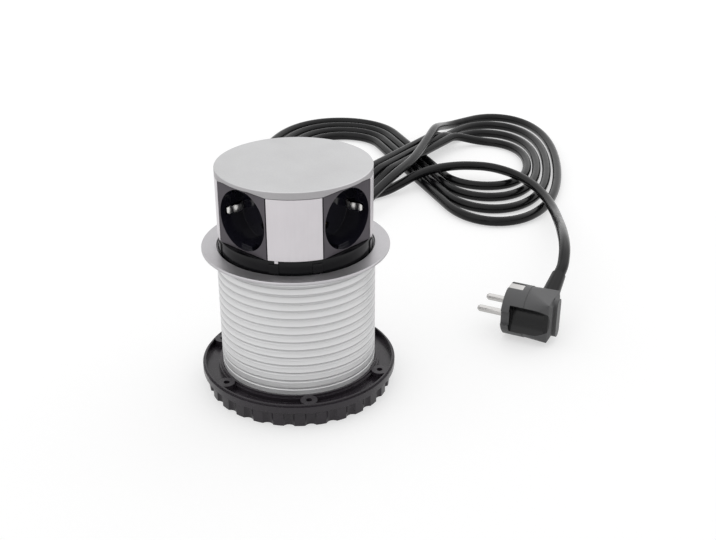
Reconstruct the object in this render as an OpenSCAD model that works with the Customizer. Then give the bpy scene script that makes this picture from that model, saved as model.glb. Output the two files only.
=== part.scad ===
// Pop-up desk socket: a round head with four earthed sockets that slides up out of a ribbed tube.
// Origin at the floor, on the axis of the tube. +Z up. Millimetres. Drawn with the head raised.

/* [Head] */
// Outer radius of the cap and of the corner trims
head_r = 48; // [46:0.5:50]
// How far the face of each socket lies behind the round of the cap
face_set = 4.5; // [4:0.1:5]
// Height of the corner trims and socket faces
window_h = 39.1; // [39:0.1:44]
// Height of the underside of the socket faces above the floor
window_z = 105.4; // [100:0.2:112]
// Thickness of the round top of the cap
cap_top_h = 2.3; // [2:0.1:4]
// Height of the flat-sided skirt under the top of the cap
cap_skirt_h = 2.1; // [1.5:0.1:4]
// How far the black base of the head lies behind the round of the cap, between its guide rails
base_set = 0.6; // [0.4:0.1:1]
// Wall of the skirt that hangs below the head
skirt_t = 2.4; // [1.6:0.2:4]
// Length of the skirt below the socket faces
skirt_h = 28.4; // [20:0.2:32]
// Thickness of the deck that closes the head below the sockets
deck_t = 4; // [3:0.5:6]
// Thickness of the corner trims
trim_t = 1.5; // [1:0.1:2]
// Gap between the side of a corner trim and the edge of the cap's flat
trim_side_gap = 0.35; // [0.2:0.05:0.8]

/* [Sockets] */
// Radius of the round recess
recess_r = 18.8; // [18.5:0.1:18.8]
// Depth of the round recess
recess_d = 17.5; // [16:0.5:18]
// Wall of the cup around the recess
cup_wall = 0.7; // [0.5:0.05:0.7]
// Thickness of the face plate
face_t = 2; // [1.5:0.25:3]
// Thickness of the floor of the recess
cup_floor = 2.4; // [2:0.2:3]
// Distance between the two pins of a plug
pin_pitch = 19; // [18.6:0.1:19.4]
// Diameter of a plug pin
pin_d = 4.8; // [4.6:0.1:5]
// Width of the guide ribs at the top and bottom of the recess
guide_w = 9; // [7:0.5:10]
// Height of the guide ribs
guide_h = 2.2; // [1.5:0.1:2.6]
// Width of the earth clips
clip_w = 4.6; // [3.5:0.1:5]
// Thickness of the earth clip strip
clip_t = 0.9; // [0.6:0.1:1]
// Radius of the insulating post between the neutral bar and the earth bar
core_post_r = 6.5; // [5.5:0.1:6.8]

/* [Tube] */
// Wall of the tube over its ribs
tube_wall = 1; // [0.9:0.05:2]
// Depth of the grooves between the ribs
rib_depth = 0.45; // [0.2:0.05:0.5]
// Number of ribs
rib_n = 15; // [8:1:20]
// Height of the lowest groove above the floor
rib_from = 14; // [12:1:24]
// Distance between the floor and the top face of the flange
flange_z = 97.4; // [92:0.2:99]
// Thickness of the flange
flange_t = 2; // [1.6:0.2:3]
// How far the flange stands out past the ribs
flange_w = 9.1; // [7:0.1:12]

/* [Clamp ring] */
// How far the dish stands out past the ribs
dish_w = 13.1; // [11.5:0.1:16]
// Height of the clamp ring
ring_h = 16.5; // [15:0.5:18]
// Depth of the gutter in the top of the dish
gutter_d = 4.25; // [2.5:0.25:5]
// Height of the scalloped grip below the dish
grip_h = 10; // [9:0.25:12]
// How far the scalloped grip lies inside the rim of the dish
grip_set = 3.1; // [2.5:0.1:4]
// Number of scallops
scallop_n = 28; // [20:1:32]
// Depth of a scallop
scallop_d = 1.9; // [1:0.1:2.4]
// Distance of the screw holes from the rim of the dish
screw_set = 6.5; // [6:0.1:7]
// Radius of a screw hole
screw_hole_r = 1.9; // [1.5:0.1:2.2]
// Number of screw holes
screw_n = 6; // [3:1:8]

/* [Base] */
// Height of the base cup inside the foot of the tube
cup_h = 16; // [14:0.5:20]
// Height of the underside of the base floor
floor_z = 1.5; // [1:0.25:3]
// Thickness of the base floor
floor_t = 3; // [2:0.25:4]
// Mean radius of the lift spring
spring_r = 11.5; // [10:0.5:12.5]
// Wire diameter of the lift spring
wire_d = 1.8; // [1.2:0.1:2.2]
// Turns of the lift spring
spring_turns = 9; // [6:1:11]
// Diameter of the flexible lead inside the housing
inner_d = 7; // [5:0.25:7.5]

/* [Cord and plug] */
// Diameter of the mains cord
cord_d = 8.4; // [7.5:0.1:8.5]
// Angle of the cord's layout about the axis
cord_turn = 43; // [40:1:46]
// Length of the cord's strain relief outside the clamp ring
nose_l = 3.9; // [2:0.1:8]
// Radius of the part of the plug that enters a socket
plug_r = 18.4; // [17.5:0.1:18.5]
// Length of the plug body
plug_l = 34; // [32:0.5:38]
// Length of the plug pins
pin_l = 19; // [18:0.5:20]
// Length of the strain relief on the plug
relief_l = 22; // [20:0.5:40]

/* [Hidden] */
$fn = 96;

// Clearances: a running fit on the travel of a moving piece, and a seat inside one assembly
run_gap = 0.4;
seat_gap = 0.2;

// Heights and radii that follow from the sizes above
window_top = window_z + window_h;
socket_z = window_z + window_h / 2;
cap_z = window_top + cap_skirt_h;
cap_top = cap_z + cap_top_h;
deck_z = window_z - deck_t;
skirt_z = window_z - skirt_h;
face_r = head_r - face_set;
base_r = head_r - base_set;
bore_r = head_r + run_gap;
rib_r = bore_r + tube_wall;
flange_r = rib_r + flange_w;
dish_r = rib_r + dish_w;
grip_r = dish_r - grip_set;
screw_circle_r = dish_r - screw_set;
flange_bore_r = bore_r + 0.3;
flange_under = flange_z - flange_t;
lip_r = rib_r + 1.6;
lip_t = flange_t / 2;
ring_bore_r = rib_r + run_gap;
floor_top = floor_z + floor_t;
cup_r = bore_r - seat_gap;
cup_in_r = cup_r - 2.5;
half_chord = sqrt(head_r * head_r - face_r * face_r);
trim_half = 45 - asin((half_chord + trim_side_gap) / head_r);
face_half = (head_r - trim_t) * sin(45 - trim_half) - seat_gap;
pod_r = recess_r + cup_wall;
recess_floor = face_r - recess_d;
pod_back = recess_floor - cup_floor;
post_from = max(pod_r, face_half) + 0.6;
post_r = head_r - trim_t - seat_gap;
post_screw = (post_from + post_r * cos(45)) / 2;
trim_edge_gap = 0.3;
pin_level = pin_pitch / 2;
pin_r = pin_d / 2;

// Angles of the four socket faces and of the four corners, front left first
face_angles = [-90, 0, 90, 180];
corner_angles = [-45, 45, 135, 225];
exit_angle = 135;
latch_angle = -45;

// Colours
silver = "#c9c9cb";
alloy = "#bfc0c2";
black = "#232326";
soft_black = "#2c2c2f";
brass = "#c8a24a";
steel = "#b9bcc2";

// Points of a strip of thickness t that follows a flat path
function strip_side(path, t, k) = [for (i = [0 : len(path) - 1])
    let (a = path[max(i - 1, 0)], b = path[min(i + 1, len(path) - 1)], d = (b - a) / norm(b - a))
    path[i] + k * t / 2 * [-d.y, d.x]];
function reversed(v) = [for (i = [len(v) - 1 : -1 : 0]) v[i]];
function strip_points(path, t) = concat(strip_side(path, t, 1), reversed(strip_side(path, t, -1)));

// Tube swept along a path, with rings carried along without twist
function unit(v) = v / norm(v);
function path_dir(path, i) = unit(path[min(i + 1, len(path) - 1)] - path[max(i - 1, 0)]);
function square_to(n, d) = unit(n - (n * d) * d);
function ring_sides(path, first) = [for (i = 0, n = square_to(first, path_dir(path, 0)); i < len(path);
    i = i + 1, n = i < len(path) ? square_to(n, path_dir(path, i)) : n) n];
function tube_points(path, r, sides, first) = let (ups = ring_sides(path, first)) [
    for (i = [0 : len(path) - 1])
    let (up = ups[i], across = cross(path_dir(path, i), up)) for (k = [0 : sides - 1])
        path[i] + r * (cos(360 * k / sides) * up + sin(360 * k / sides) * across)];
module swept_tube(path, r, sides, first = [0, 0, 1]) {
    last = (len(path) - 1) * sides;
    walls = [for (i = [0 : len(path) - 2]) for (k = [0 : sides - 1]) for (half = [0, 1])
        let (a = i * sides + k, b = i * sides + (k + 1) % sides)
            half == 0 ? [a, b, b + sides] : [a, b + sides, a + sides]];
    ends = concat([for (k = [1 : sides - 2]) [0, k + 1, k]],
        [for (k = [1 : sides - 2]) [last, last + k, last + k + 1]]);
    polyhedron(points = tube_points(path, r, sides, first), faces = concat(walls, ends), convexity = 8);
}

// Smooth curve through chosen points, with a few steps between neighbours
function curve_at(a, b, c, d, u) = 0.5 * (2 * b + (c - a) * u + (2 * a - 5 * b + 4 * c - d) * u * u
    + (3 * b - a - 3 * c + d) * u * u * u);
function smooth(pts, steps) = concat([for (i = [0 : len(pts) - 2]) for (k = [0 : steps - 1])
    curve_at(pts[max(i - 1, 0)], pts[i], pts[i + 1], pts[min(i + 2, len(pts) - 1)], k / steps)],
    [pts[len(pts) - 1]]);
function path_length(path) = let (steps = [for (i = [1 : len(path) - 1]) norm(path[i] - path[i - 1])])
    steps * [for (s = steps) 1];

// Ribbed aluminium tube with a turned-out lip under the flange
rib_pitch = (flange_under - 1.5 - rib_from) / rib_n;
// Shares of the pitch at which a groove reaches its depth, leaves it and ends
groove_at = [0.08, 0.2, 0.36];
module ribbed_tube() {
    groove_r = rib_r - rib_depth;
    outline = concat(
        [[bore_r, 0], [rib_r, 0]],
        [for (i = [0 : rib_n - 1]) let (z = rib_from + i * rib_pitch) each [
            [rib_r, z], [groove_r, z + groove_at[0] * rib_pitch],
            [groove_r, z + groove_at[1] * rib_pitch], [rib_r, z + groove_at[2] * rib_pitch]]],
        [[rib_r, flange_under], [lip_r, flange_under], [lip_r, flange_under + lip_t],
            [bore_r, flange_under + lip_t]]);
    color(alloy) difference() {
        rotate_extrude() polygon(outline);
        exit_notch(nose_w, bore_r - 2, rib_r + 3);
        base_screw_places() screw_cone(seat_gap / 2);
    }
}

// Thin round flange that lies on the desktop
module trim_flange() {
    edge = 0.5;
    color(silver) rotate_extrude() polygon([
        [lip_r + seat_gap, flange_under], [flange_r - edge, flange_under], [flange_r, flange_under + edge],
        [flange_r, flange_z - edge], [flange_r - edge, flange_z], [flange_bore_r + edge, flange_z],
        [flange_bore_r, flange_z - edge], [flange_bore_r, flange_under + lip_t],
        [lip_r + seat_gap, flange_under + lip_t]]);
}

// Notch at the rear foot that lets the cord out along the floor
nose_r = 5.2;
nose_z = nose_r + 0.2;
nose_w = 2 * nose_r + 1.2;
module exit_notch(w, from_r, to_r) {
    rotate([0, 0, exit_angle]) {
        translate([from_r, -w / 2, -1]) cube([to_r - from_r, w, nose_z + 1]);
        translate([from_r, 0, nose_z]) rotate([0, 90, 0]) cylinder(r = w / 2, h = to_r - from_r);
    }
}

// Four countersunk screws that hold the base cup in the tube
base_screw_z = 9;
module base_screw_places() {
    for (a = face_angles) rotate([0, 0, a]) translate([rib_r - rib_depth, 0, base_screw_z])
        rotate([0, -90, 0]) children();
}
module screw_cone(gap) {
    translate([0, 0, -1.5]) cylinder(r = 2.7 + gap, h = 1.5 + gap);
    cylinder(r1 = 2.7 + gap, r2 = 1.3 + gap, h = 1.4);
    cylinder(r = 1.3 + gap, h = 5);
}
module base_screws() {
    color(steel) base_screw_places() difference() {
        union() {
            cylinder(r1 = 2.7, r2 = 1.3, h = 1.4);
            cylinder(r = 1.3, h = 4.6);
        }
        for (a = [0, 90]) rotate([0, 0, a]) translate([-1.4, -0.3, -0.5]) cube([2.8, 0.6, 1.1]);
    }
}

// Black cup that closes the foot of the tube, with the spring spigot and the seat of the latch
spring_rings = 8;
spigot_r = spring_r * cos(180 / spring_rings) - wire_d / 2 - run_gap;
spigot_h = 5;
foot_ring_w = 4;
floor_rib_from = spring_r + wire_d;
gland_w = 15;
gland_l = 16.1;
nose_from = cup_in_r - 0.6;
gland_from = nose_from - gland_l;
module base_cup() {
    color(soft_black) difference() {
        union() {
            rotate_extrude() polygon([[0, floor_z], [cup_r - foot_ring_w, floor_z], [cup_r - foot_ring_w, 0],
                [cup_r, 0], [cup_r, cup_h], [cup_in_r, cup_h], [cup_in_r, floor_top], [spigot_r, floor_top],
                [spigot_r, floor_top + spigot_h], [0, floor_top + spigot_h]]);
            for (a = [0 : 60 : 300]) rotate([0, 0, a]) translate([floor_rib_from, -0.8, floor_top - 1])
                cube([cup_in_r + 1 - floor_rib_from, 1.6, 2.2]);
        }
        translate([0, 0, floor_z - 1]) cylinder(r = spigot_r - 2, h = floor_t + spigot_h - 1);
        exit_notch(nose_w, cup_in_r - 3, cup_r + 3);
        rotate([0, 0, exit_angle]) translate([gland_from - seat_gap, -gland_w / 2 - seat_gap, floor_z - 3])
            cube([cup_in_r - gland_from + 0.5, gland_w + 2 * seat_gap, 14]);
        base_screw_places() cylinder(r = 1.3 + seat_gap / 2, h = 5);
        base_screw_places() screw_cone(seat_gap / 2);
        latch_place() translate([-latch_l / 2 - seat_gap, -latch_w / 2 - seat_gap, floor_top])
            cube([latch_l + 2 * seat_gap, latch_w + 2 * seat_gap, 3]);
    }
}

// Cord clamp inside the base, with the tapered strain relief that leaves through the notch
nose_end = dish_r + nose_l;
module cord_gland() {
    color(black) rotate([0, 0, exit_angle]) difference() {
        union() {
            translate([gland_from, -gland_w / 2, floor_z]) cube([nose_from - gland_from, gland_w, 11]);
            translate([nose_from, 0, nose_z]) rotate([0, 90, 0])
                cylinder(r1 = nose_r, r2 = cord_d / 2 + 0.7, h = nose_end - nose_from);
            translate([nose_from - 0.5, 0, nose_z]) rotate([0, 90, 0]) cylinder(r = nose_r, h = 4);
        }
        for (x = [4 : 4 : 12]) translate([nose_end - x, 0, nose_z]) rotate([0, 90, 0])
            difference() {
                cylinder(r = nose_r + 1, h = 1.2);
                cylinder(r = cord_d / 2 + 0.45, h = 1.2);
            }
        for (y = [-1, 1]) translate([gland_from + 6, y * (gland_w / 2 - 2.2), floor_z + 6])
            cylinder(r = 1.2, h = 6);
    }
}

// Push-push latch on the base floor, and the striker that hangs from the deck
latch_r = cup_in_r - 9.7;
latch_l = 10;
latch_w = 15;
latch_h = 22;
striker_t = 3;
striker_w = 8;
striker_l = 31.4;
module latch_place() {
    rotate([0, 0, latch_angle]) translate([latch_r, 0, 0]) children();
}
module push_latch() {
    throat_t = striker_t + 4 * run_gap;
    throat_w = striker_w + 4 * run_gap;
    color(soft_black) latch_place() difference() {
        translate([-latch_l / 2, -latch_w / 2, floor_top]) cube([latch_l, latch_w, latch_h]);
        translate([-throat_t / 2, -throat_w / 2, floor_top + 6]) cube([throat_t, throat_w, latch_h]);
        translate([-latch_l / 2 - 1, -2, floor_top + 8]) cube([latch_l + 2, 4, 6]);
    }
}
module latch_striker() {
    color(soft_black) latch_place() translate([0, 0, deck_z]) rotate([90, 0, 0]) difference() {
        translate([0, 0, -striker_w / 2]) linear_extrude(striker_w) polygon([
            [-5, 0], [5, 0], [5, -2.5], [striker_t / 2, -4], [striker_t / 2, 2.5 - striker_l],
            [0.4, -striker_l], [-0.4, -striker_l], [-striker_t / 2, 2.5 - striker_l],
            [-striker_t / 2, -4], [-5, -2.5]]);
        translate([-striker_t, 5 - striker_l, -1.5]) cube([2 * striker_t, 3, 3]);
    }
}

// Clamp ring: a dish with six screw bosses over a scalloped hand grip
boss_r = 5.2;
lip_w = 2;
collar_w = 2.4;
boss_turn = -39;
scallop_r = 4.2;
grip_wall = 2.2;
module clamp_ring() {
    gutter_z = ring_h - gutter_d;
    under_z = gutter_z - 2;
    collar_r = ring_bore_r + collar_w;
    web_from = ring_bore_r + collar_w / 2;
    grip_in_r = grip_r - scallop_d - grip_wall;
    color(black) difference() {
        union() {
            rotate_extrude() polygon([
                [ring_bore_r, 0], [collar_r, 0], [collar_r, under_z], [grip_in_r + 1, under_z],
                [grip_in_r + 1, grip_h], [dish_r - 1.2, grip_h], [dish_r, grip_h + 1],
                [dish_r, ring_h - 1.3], [dish_r - lip_w / 2, ring_h - 1.3], [dish_r - lip_w / 2, ring_h],
                [dish_r - lip_w, ring_h], [dish_r - lip_w, gutter_z], [collar_r, gutter_z],
                [collar_r, ring_h - 1.4], [web_from, ring_h - 1.4], [web_from, ring_h],
                [ring_bore_r, ring_h]]);
            linear_extrude(grip_h + 0.5) difference() {
                circle(r = grip_r);
                circle(r = grip_in_r);
                for (i = [0 : scallop_n - 1]) rotate(i * 360 / scallop_n)
                    translate([grip_r - scallop_d + scallop_r, 0]) circle(r = scallop_r, $fn = 48);
            }
            ring_screw_places() translate([0, 0, -1]) cylinder(r = boss_r, h = gutter_d + 1);
            ring_screw_places() translate([web_from - screw_circle_r, -1.5, -0.5])
                cube([dish_r - lip_w / 2 - 0.3 - web_from, 3, gutter_d - 0.5]);
            ring_screw_places() translate([web_from - screw_circle_r, -1.5, 1 - gutter_z])
                cube([grip_in_r + 1.2 - web_from, 3, gutter_z - 2]);
        }
        ring_screw_places() translate([0, 0, -0.6]) cylinder(r = screw_hole_r, h = gutter_d + 2);
        exit_notch(nose_w + run_gap, ring_bore_r - 2, dish_r + 2);
    }
}
module ring_screw_places() {
    for (i = [0 : screw_n - 1]) rotate([0, 0, boss_turn + i * 360 / screw_n])
        translate([screw_circle_r, 0, ring_h - gutter_d]) children();
}

// Black base of the head: deck, hanging skirt with guide rails, and four corner posts
rail_in = 9.9;
rail_out = 15.8;
rail_h = 26.5;
lead_r = gland_from - 8;
module head_base() {
    color(black) difference() {
        union() {
            translate([0, 0, skirt_z]) cylinder(r = base_r, h = skirt_h);
            intersection() {
                translate([0, 0, skirt_z]) cylinder(r = head_r, h = rail_h);
                for (a = corner_angles) rotate([0, 0, a]) for (y = [-rail_out, rail_in])
                    translate([head_r - 8, y, skirt_z]) cube([12, rail_out - rail_in, rail_h]);
            }
            intersection() {
                translate([0, 0, deck_z]) cylinder(r = post_r, h = window_top - deck_z);
                for (a = corner_angles) rotate([0, 0, a - 45])
                    translate([post_from, post_from, deck_z]) cube([head_r, head_r, window_top - deck_z]);
            }
        }
        translate([0, 0, skirt_z - 1]) cylinder(r = base_r - skirt_t, h = skirt_h - deck_t + 1);
        head_screw_places() {
            translate([0, 0, deck_z - 1]) cylinder(r = 1.7, h = cap_top);
            translate([0, 0, deck_z - 1]) cylinder(r = 3.1, h = 3.6);
        }
        core_places() translate([0, 0, deck_z - 1]) cylinder(r = core_r + seat_gap, h = deck_t + 2);
        translate([0, 0, deck_z - 1]) cylinder(r = 1.7, h = deck_t + 2);
        corner_feet(seat_gap);
    }
}
module head_screw_places() {
    for (a = corner_angles) rotate([0, 0, a - 45]) translate([post_screw, post_screw, 0]) children();
}

// Small foot under the left edge of each trim, set into the deck
foot_w = 2.2;
foot_h = 1.4;
foot_at = 13.5;
module corner_feet(gap) {
    for (a = corner_angles) rotate([0, 0, a - foot_at]) translate([0, 0, window_z - foot_h - gap])
        intersection() {
            translate([post_r - 0.6, -foot_w / 2 - gap, 0]) cube([6, foot_w + 2 * gap, foot_h + 1]);
            cylinder(r = head_r + 2 * gap, h = foot_h + 2);
        }
}

// Round cap with a flat-sided skirt that lines up with the socket faces
module top_cap() {
    edge = 0.6;
    color(silver) difference() {
        union() {
            translate([0, 0, cap_z]) rotate_extrude() polygon([
                [0, 0], [head_r, 0], [head_r, cap_top_h - edge],
                [head_r - edge / 3, cap_top_h - edge / 3], [head_r - edge, cap_top_h], [0, cap_top_h]]);
            intersection() {
                translate([0, 0, window_top]) cylinder(r = head_r, h = cap_skirt_h);
                translate([-face_r, -face_r, window_top]) cube([2 * face_r, 2 * face_r, cap_skirt_h]);
            }
        }
        head_screw_places() translate([0, 0, window_top - 1]) cylinder(r = 1.5, h = cap_skirt_h + 2);
        translate([0, 0, window_top - 1]) cylinder(r = post_from - 4, h = cap_skirt_h + 1);
    }
}

// Long screws that draw the cap down on the corner posts
module head_screws() {
    color(steel) head_screw_places() difference() {
        union() {
            translate([0, 0, deck_z + 0.2]) cylinder(r = 2.8, h = 2.4);
            translate([0, 0, deck_z + 2]) cylinder(r = 1.5, h = window_top + cap_skirt_h - deck_z - 1.5);
        }
        for (a = [0, 90]) rotate([0, 0, a]) translate([-1.6, -0.35, deck_z]) cube([3.2, 0.7, 1.4]);
    }
}

// Curved corner trim, seen from outside with its foot at the lower left
module corner_trim(a) {
    edge = 0.3;
    trim_h = window_h - 2 * trim_edge_gap;
    color(silver) {
        rotate([0, 0, a - trim_half]) translate([0, 0, window_z + trim_edge_gap])
            rotate_extrude(angle = 2 * trim_half) polygon([
                [head_r - trim_t, 0], [head_r - edge, 0], [head_r, edge],
                [head_r, trim_h - edge], [head_r - edge, trim_h], [head_r - trim_t, trim_h]]);
        rotate([0, 0, a - foot_at]) translate([0, 0, window_z - foot_h + trim_edge_gap]) intersection() {
            translate([post_r + seat_gap, -foot_w / 2, 0]) cube([6, foot_w, foot_h + 1]);
            cylinder(r = head_r - 0.1, h = foot_h + 2);
        }
    }
}
module trim_front() { corner_trim(corner_angles[0]); }
module trim_right() { corner_trim(corner_angles[1]); }
module trim_back() { corner_trim(corner_angles[2]); }
module trim_left() { corner_trim(corner_angles[3]); }

// Socket insert: flat face, round recess with guide ribs, two pin holes and slots for the earth clips
module socket_insert(a) {
    plate_h = window_h - 2 * trim_edge_gap;
    slot_from = face_r - 4.2;
    color(soft_black) rotate([0, 0, a]) translate([0, 0, socket_z]) difference() {
        union() {
            translate([face_r - face_t, -face_half, -plate_h / 2]) cube([face_t, 2 * face_half, plate_h]);
            intersection() {
                translate([pod_back, 0, 0]) rotate([0, 90, 0]) cylinder(r = pod_r, h = face_r - pod_back);
                translate([0, 0, -plate_h / 2]) cylinder(r = post_r, h = plate_h);
                rotate([0, 0, -45]) translate([seat_gap, seat_gap, -plate_h / 2])
                    cube([head_r, head_r, plate_h]);
            }
        }
        difference() {
            translate([recess_floor, 0, 0]) rotate([0, 90, 0]) cylinder(r = recess_r, h = recess_d + 1);
            for (side = [-1, 1]) translate([recess_floor - 1, -guide_w / 2, side * recess_r - guide_h])
                cube([recess_d - 2, guide_w, 2 * guide_h]);
        }
        for (side = [-1, 1]) translate([pod_back - 1, 0, side * pin_level]) rotate([0, 90, 0])
            cylinder(r = pin_r + 0.3, h = cup_floor + 2);
        for (side = [-1, 1]) translate([pod_back - 1, side * (recess_r + 0.1) - 1, -clip_w / 2 - seat_gap])
            cube([slot_from - pod_back + 1, 2, clip_w + 2 * seat_gap]);
    }
}
module socket_front() { socket_insert(face_angles[0]); }
module socket_right() { socket_insert(face_angles[1]); }
module socket_back() { socket_insert(face_angles[2]); }
module socket_left() { socket_insert(face_angles[3]); }

// Earth clip: one sprung strip with a finger on each side of the recess
clip_back_x = pod_back - seat_gap - clip_t / 2;
module earth_clip(a) {
    arm = recess_r + 0.1;
    half = [[face_r - 5, arm - 0.6], [face_r - 7, arm - 1.9], [face_r - 11.5, arm - 2.6],
        [recess_floor + 1.5, arm - 0.7], [recess_floor - 0.6, arm],
        [clip_back_x + 1, arm], [clip_back_x, arm - 1]];
    path = concat(half, reversed([for (p = half) [p.x, -p.y]]));
    color(steel) rotate([0, 0, a]) translate([0, 0, socket_z - clip_w / 2])
        linear_extrude(clip_w) polygon(strip_points(path, clip_t));
}
module clip_front() { earth_clip(face_angles[0]); }
module clip_right() { earth_clip(face_angles[1]); }
module clip_back() { earth_clip(face_angles[2]); }
module clip_left() { earth_clip(face_angles[3]); }

// Stepped insulating post that carries the three bars at their heights
sleeve_r = pin_r + 1.4;
bar_t = 1.2;
bar_drop = sleeve_r + 0.4;
neutral_z = socket_z - pin_level - bar_drop;
live_z = socket_z + pin_level - bar_drop;
earth_z = socket_z - bar_t / 2;
post_step = 1;
step_r = [for (i = [-1 : 2]) core_post_r - i * post_step];
bar_hub_w = 1.9;
sleeve_from = core_post_r + 2;
module contact_post() {
    tops = [neutral_z, earth_z, live_z, window_top - 2];
    color("#e4e1d8") difference() {
        union() {
            for (i = [0 : 3]) translate([0, 0, window_z]) cylinder(r = step_r[i], h = tops[i] - window_z);
        }
        translate([0, 0, window_z - 1]) cylinder(r = 1.3, h = 14);
    }
}

// Contact bar with a sleeve behind each pin hole and a tab for its core
core_r = 1.5;
core_gap = 4.2;
function core_place(i) = [-(lead_r + i * core_gap) * sin(45), (lead_r - i * core_gap) * sin(45)];
module core_places() {
    for (i = [-1, 0, 1]) translate(core_place(i)) children();
}
module bar_plate(hole_r, core, arm_w, arm_l) {
    turn = atan2(core_place(core).y, core_place(core).x);
    difference() {
        union() {
            cylinder(r = step_r[0] + bar_hub_w, h = bar_t);
            for (a = face_angles) rotate([0, 0, a]) translate([0, -arm_w / 2, 0])
                cube([arm_l, arm_w, bar_t]);
            rotate([0, 0, turn]) translate([0, -2, 0]) cube([norm(core_place(core)) + 2.2, 4, bar_t]);
        }
        translate([0, 0, -1]) cylinder(r = hole_r, h = bar_t + 2);
    }
}
module pin_bar(z, hole_r, core) {
    sleeve_l = pod_back - 2 * seat_gap - sleeve_from;
    color(brass) translate([0, 0, z]) difference() {
        union() {
            bar_plate(hole_r, core, 6, pod_back - 2);
            for (a = face_angles) rotate([0, 0, a]) translate([sleeve_from, 0, bar_drop]) rotate([0, 90, 0])
                cylinder(r = sleeve_r, h = sleeve_l);
        }
        for (a = face_angles) rotate([0, 0, a]) translate([sleeve_from - 1, 0, bar_drop]) rotate([0, 90, 0])
            cylinder(r = pin_r + 0.15, h = sleeve_l + 2);
    }
}
module neutral_bar() { pin_bar(neutral_z, step_r[1] + 0.1, -1); }
module live_bar() { pin_bar(live_z, step_r[3] + 0.1, 1); }
module earth_bar() {
    color(brass) translate([0, 0, earth_z])
        bar_plate(step_r[2] + 0.1, 0, 8, clip_back_x - clip_t / 2 - 0.05);
}

// Three insulated cores from the deck to the tabs of the bars
module core_wires() {
    tops = [neutral_z, earth_z, live_z];
    colours = ["#3f6fc4", "#7aa03c", "#6b4a2e"];
    for (i = [0 : 2]) color(colours[i]) translate(concat(core_place(i - 1), [deck_z]))
        cylinder(r = core_r, h = tops[i] - deck_z - 0.1);
}

// Lift spring between the base floor and the deck
spring_from = floor_top + wire_d / 2 + 0.1;
spring_to = deck_z - wire_d / 2 - 0.1;
module lift_spring() {
    steps = spring_turns * spring_rings;
    path = [for (i = [0 : steps]) let (a = 360 * i / spring_rings)
        [spring_r * cos(a), spring_r * sin(a), spring_from + (spring_to - spring_from) * i / steps]];
    color(steel) swept_tube(path, wire_d / 2, 6);
}

// Flexible lead that rises in two slack turns from the cord clamp to the deck
inner_turns = 2;
module inner_lead() {
    start_z = floor_top + inner_d / 2 + 0.6;
    top_z = deck_z - 0.2;
    turn_pts = [for (i = [2 : inner_turns * 12]) let (a = exit_angle + 30 * i)
        [lead_r * cos(a), lead_r * sin(a), start_z + (top_z - 8 - start_z) * i / (inner_turns * 12)]];
    out = [cos(exit_angle), sin(exit_angle), 0];
    from_r = gland_from - seat_gap;
    path = concat(
        [from_r * out + [0, 0, start_z], (from_r - inner_d / 2) * out + [0, 0, start_z]],
        turn_pts, [lead_r * out + [0, 0, top_z - 3], lead_r * out + [0, 0, top_z]]);
    color(black) swept_tube(path, inner_d / 2, 8);
}

// Mains cord: laid out in a frame turned about the axis, x along the pile and y away from the tube
function turned(p, a) = [p.x * cos(a) - p.y * sin(a), p.x * sin(a) + p.y * cos(a), p.z];
function laid(p) = turned(p, cord_turn);
function unlaid(p) = turned(p, -cord_turn);
function laid_path(path) = [for (p = path) laid(p)];
cord_r = cord_d / 2;
cord_rest = cord_r + 0.3;
cord_layer = cord_d + 0.8;

// Figure-eight pile: the crossing, its turn, the slope of the strands there and the step between strands
cross_at = [78.5, 397];
pile_turn = -8;
cross_slope = 1.94;
strand_step = 10.5;
// Half height and half width of the lobes, and how they change with each full turn
right_h = [153, -27.7];
right_w = [62, -5.6];
left_h = [57, 16];
left_w = [38, 9];
// How much fuller than an oval the lobes are, which keeps the bends at their ends wide
right_full = 0.15;
left_full = 0.2;
// Share of a lobe that is straight at each end, where the pile starts and ends, and rings in one lobe
straight_share = 0.16;
pile_from = 0.2;
pile_to = 7.8;
lobe_rings = 24;
// Over the crossing one band of strands lies on the other: flat length and ramp of that hump
hump_flat = 54;
hump_ramp = 38;

function hump(q) = q <= hump_flat ? 1 : q >= hump_flat + hump_ramp ? 0
    : (1 + cos(180 * (q - hump_flat) / hump_ramp)) / 2;
// Angle on the lobe at which its curve takes over from the straight strand, found in a few rounds
function full_at(g, full) = 1 + full * sin(g) * sin(g);
function touch_angle(a, b, full, g, rounds) = rounds == 0 ? g
    : touch_angle(a, b, full,
        atan(a / (b * cross_slope * (full_at(g, full) - 2 * full * cos(g) * cos(g)))), rounds - 1);
function lobe_point(v, a, b, full) = let (phi = touch_angle(a, b, full, 45, 12),
        tip = [a * sin(phi) / cross_slope, a * sin(phi)],
        mid = tip.x + b * cos(phi) * full_at(phi, full),
        g = (180 - phi) * (1 - 2 * (v - straight_share) / (1 - 2 * straight_share)))
    v < straight_share ? tip * v / straight_share
    : v > 1 - straight_share ? [tip.x, -tip.y] * (1 - v) / straight_share
    : [mid + b * cos(g) * full_at(g, full), a * sin(g)];
function pile_point(n) = let (lobe = floor(n), v = n - lobe, right = lobe % 2 == 0, turn = n / 2,
        p = right ? lobe_point(v, right_h[0] + right_h[1] * turn, right_w[0] + right_w[1] * turn, right_full)
            : lobe_point(v, left_h[0] + left_h[1] * turn, left_w[0] + left_w[1] * turn, left_full),
        upper = right ? v < 0.5 : v > 0.5)
    [cross_at.x, cross_at.y, cord_rest + (upper ? cord_layer * hump(norm(p)) : 0)]
        + turned([strand_step * turn + (right ? p.x : -p.x), p.y, 0], pile_turn);
function pile_dir(n) = unit(pile_point(n + 0.002) - pile_point(n - 0.002));
pile_steps = round((pile_to - pile_from) * lobe_rings);
pile_path = concat([pile_point(pile_from) - cord_d * pile_dir(pile_from)],
    [for (i = [0 : pile_steps]) pile_point(pile_from + i / lobe_rings)],
    [pile_point(pile_to) + cord_d * pile_dir(pile_to)]);
pile_start = pile_path[0];
pile_end = pile_path[len(pile_path) - 1];

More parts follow.
